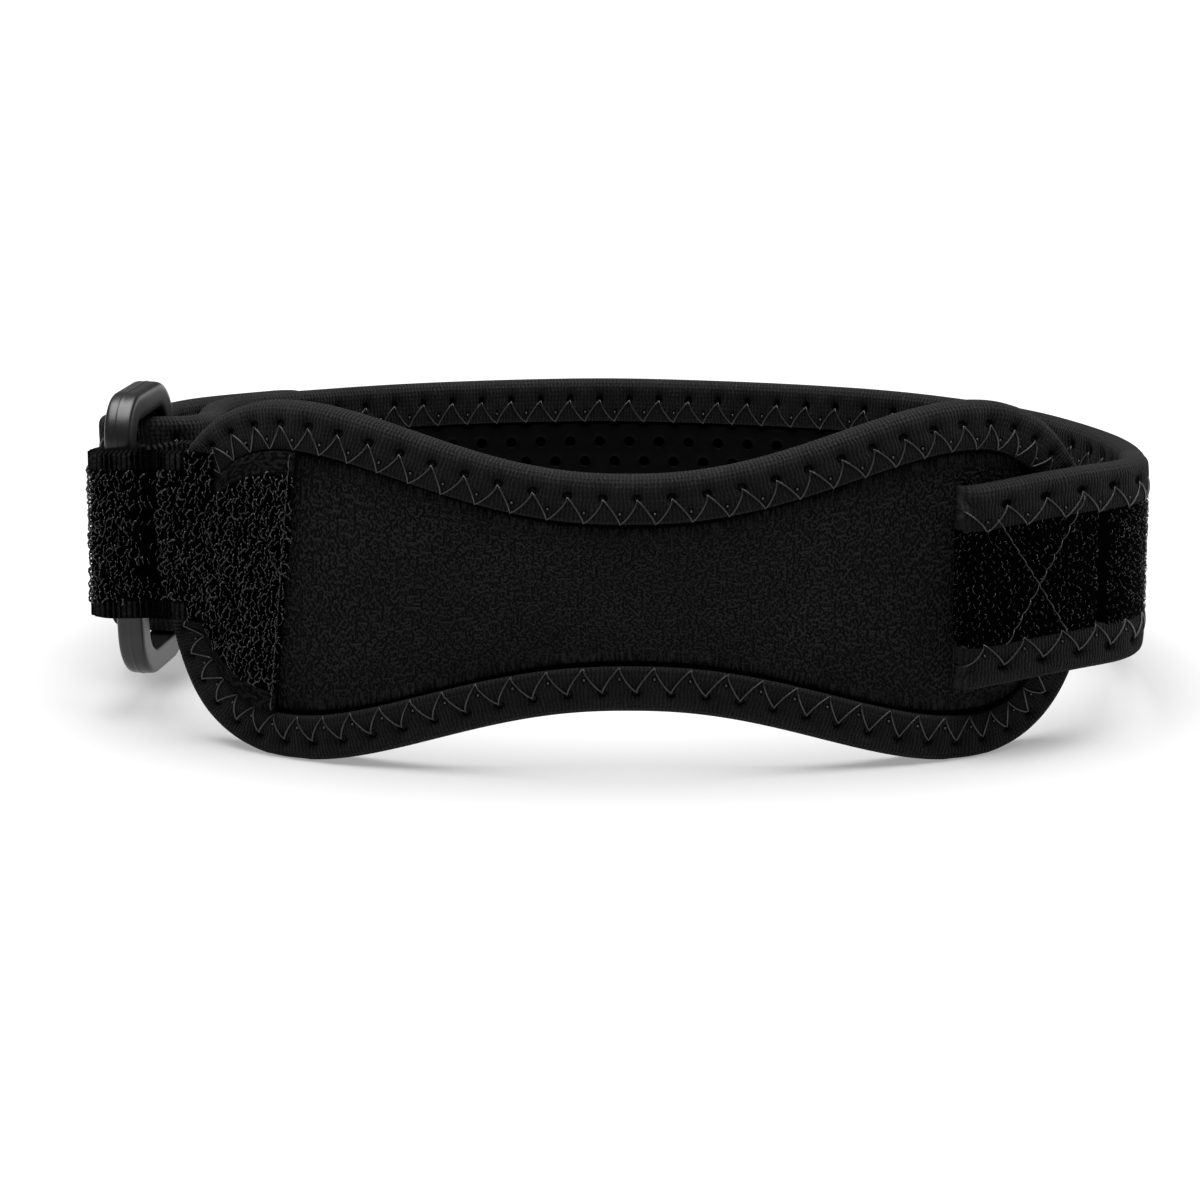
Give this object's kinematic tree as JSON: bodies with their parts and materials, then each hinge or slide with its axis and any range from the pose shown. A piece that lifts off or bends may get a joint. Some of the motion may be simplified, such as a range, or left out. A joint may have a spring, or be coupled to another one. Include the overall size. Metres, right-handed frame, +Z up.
{
  "type": "patella strap",
  "caption": "Closed patella strap: waisted padded front panel, knit-bound wide strap sewn to its right end, and a plastic ring on an elastic at the left.",
  "frame": {"origin": "middle of the bounding box's underside, where the strap rests on the floor", "axes": "+Z up, +X to the right seen from the front, +Y from the front pad towards the back of the loop"},
  "size_m": [0.1838, 0.1074, 0.0607],
  "materials": {
    "pad_face": "black coated fabric over neoprene with a fine wrinkled grain",
    "knit_band": "black ribbed knit with zigzag stitching",
    "lining": "black perforated neoprene",
    "loop_pile": "black loop pile",
    "elastic": "black ribbed elastic with loop pile",
    "hook_strip": "black hook strip",
    "ring_plastic": "dark grey satin moulded plastic"
  },
  "bodies": {
    "root": {"pad_core": "pad_face", "pad_binding": "knit_band", "strap_binding_top": "knit_band", "strap_binding_bottom": "knit_band", "strap_core": "lining", "strap_facing": "loop_pile", "loop_patch": "loop_pile", "elastic_strap": "elastic", "hook_tab": "hook_strip", "ring": "ring_plastic"}
  },
  "joints": []
}
